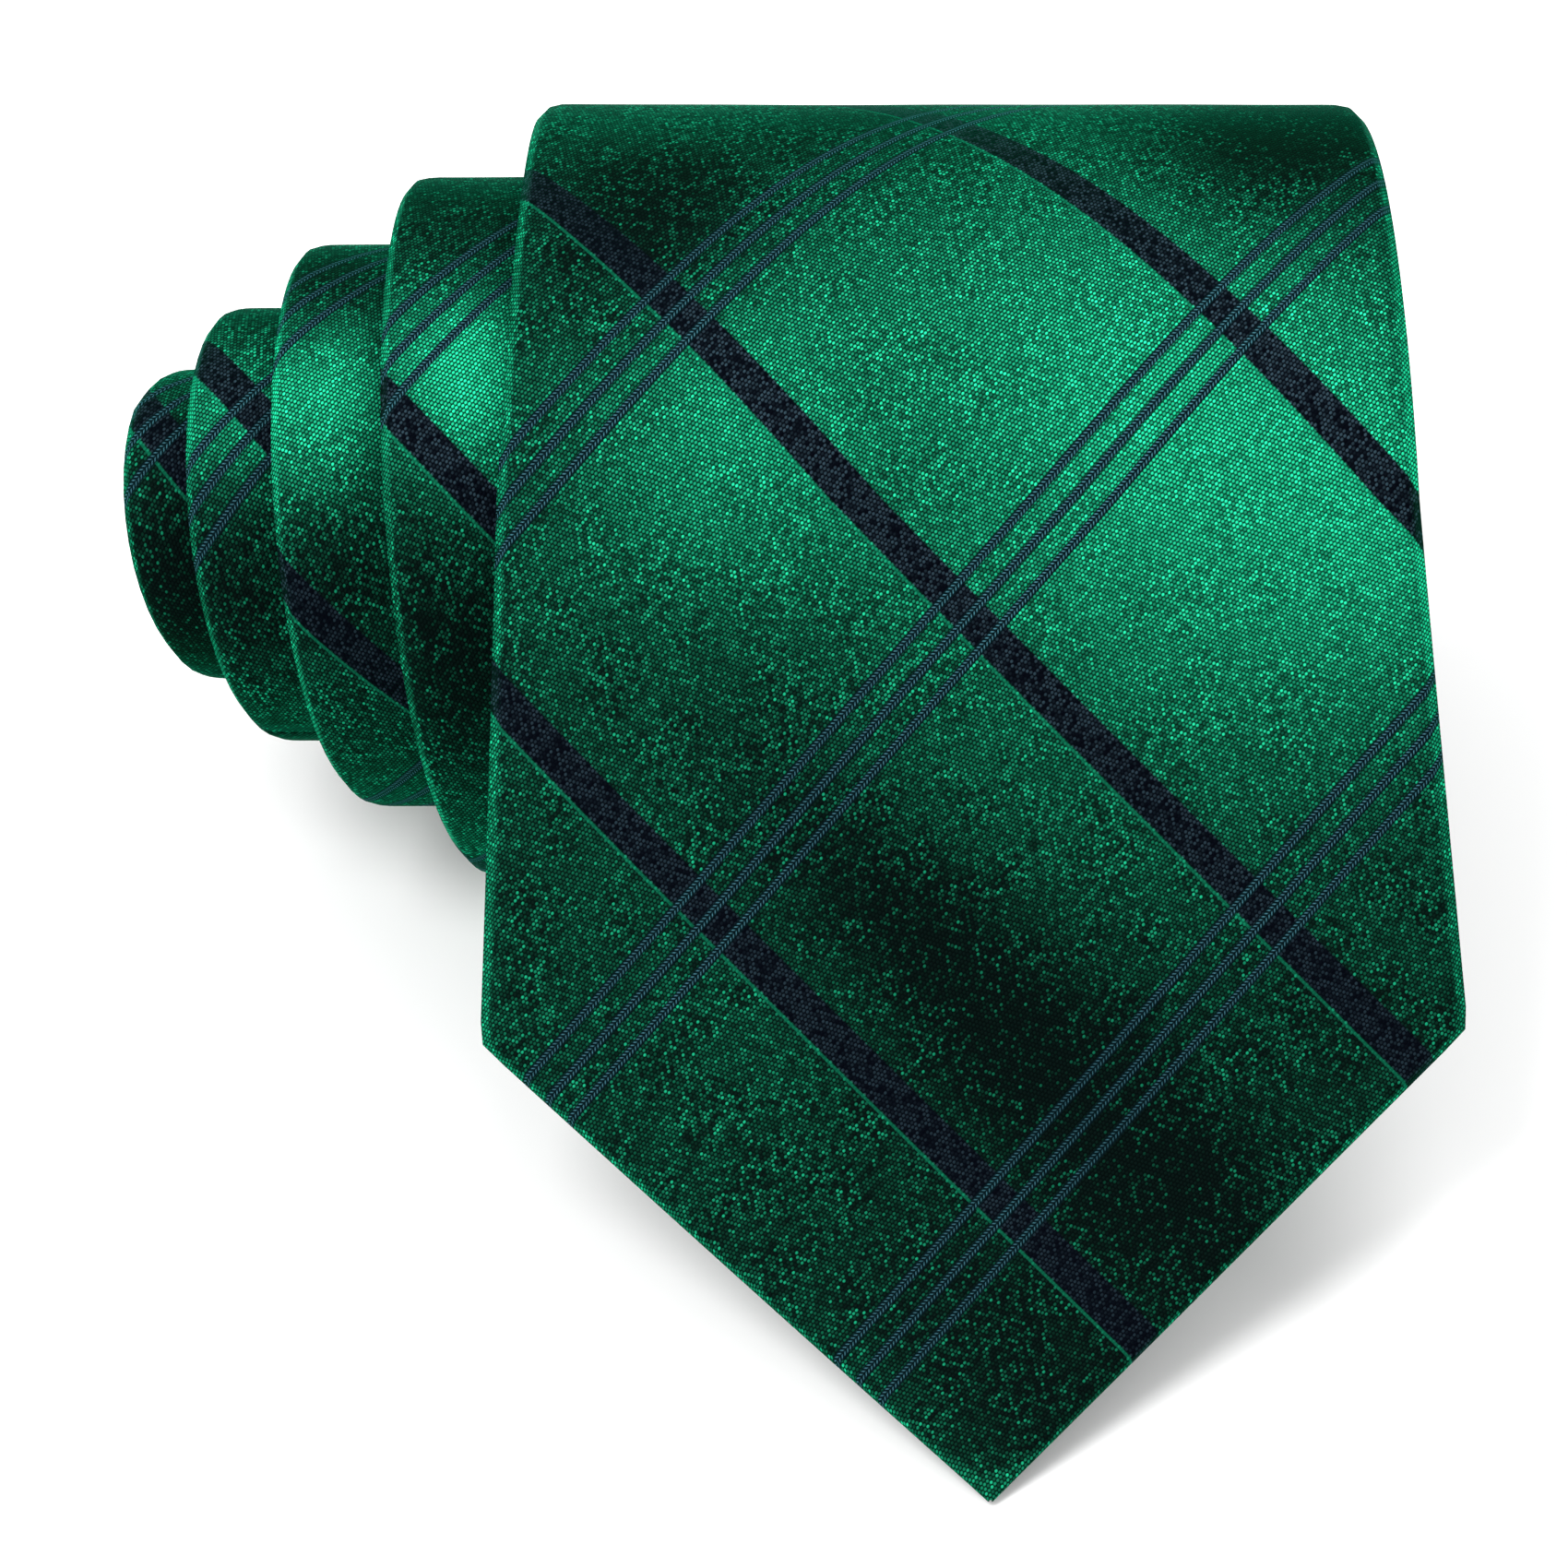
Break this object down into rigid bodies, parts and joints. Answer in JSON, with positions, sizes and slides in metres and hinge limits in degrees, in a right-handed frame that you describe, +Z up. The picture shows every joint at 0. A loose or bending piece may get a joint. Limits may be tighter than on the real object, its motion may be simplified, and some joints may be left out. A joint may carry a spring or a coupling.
{
  "type": "necktie",
  "caption": "Rolled pointed-end necktie: satin shell folded over interlining, tipped points, keeper loop and hand-sewn back seam, with a front blade that lifts.",
  "frame": {"origin": "on the flat patch under the roll where it rests on the table, below the roll's axis and in line with the middle of the front blade", "axes": "+Z up, X along the axis of the roll with the inner turns standing out to -X, and the point of the front blade towards -Y"},
  "size_m": [0.1181, 0.127, 0.0699],
  "materials": {
    "face_satin": "woven satin, green windowpane plaid, soft gloss",
    "tipping_satin": "plain green lining satin",
    "interlining": "brushed off-white interlining",
    "thread": "twisted sewing thread"
  },
  "bodies": {
    "roll": {"blade_shell": "face_satin", "neck_shell": "face_satin", "tail_shell": "face_satin", "blade_interlining": "interlining", "tail_interlining": "interlining", "tail_tipping": "tipping_satin", "tail_bar_tack": "thread", "slip_stitch": "thread", "keeper_loop": "face_satin", "blade_neck_seam": "thread", "tail_neck_seam": "thread"},
    "flap": {"blade_tip_shell": "face_satin", "blade_tip_interlining": "interlining", "blade_tipping": "tipping_satin", "blade_bar_tack": "thread"}
  },
  "joints": [
    {"name": "blade_lift", "type": "hinge", "parent": "roll", "child": "flap", "pos_m": [0, -0.02815, 0.05851], "axis": [-1, 0, 0], "range_deg": [0, 70]}
  ]
}
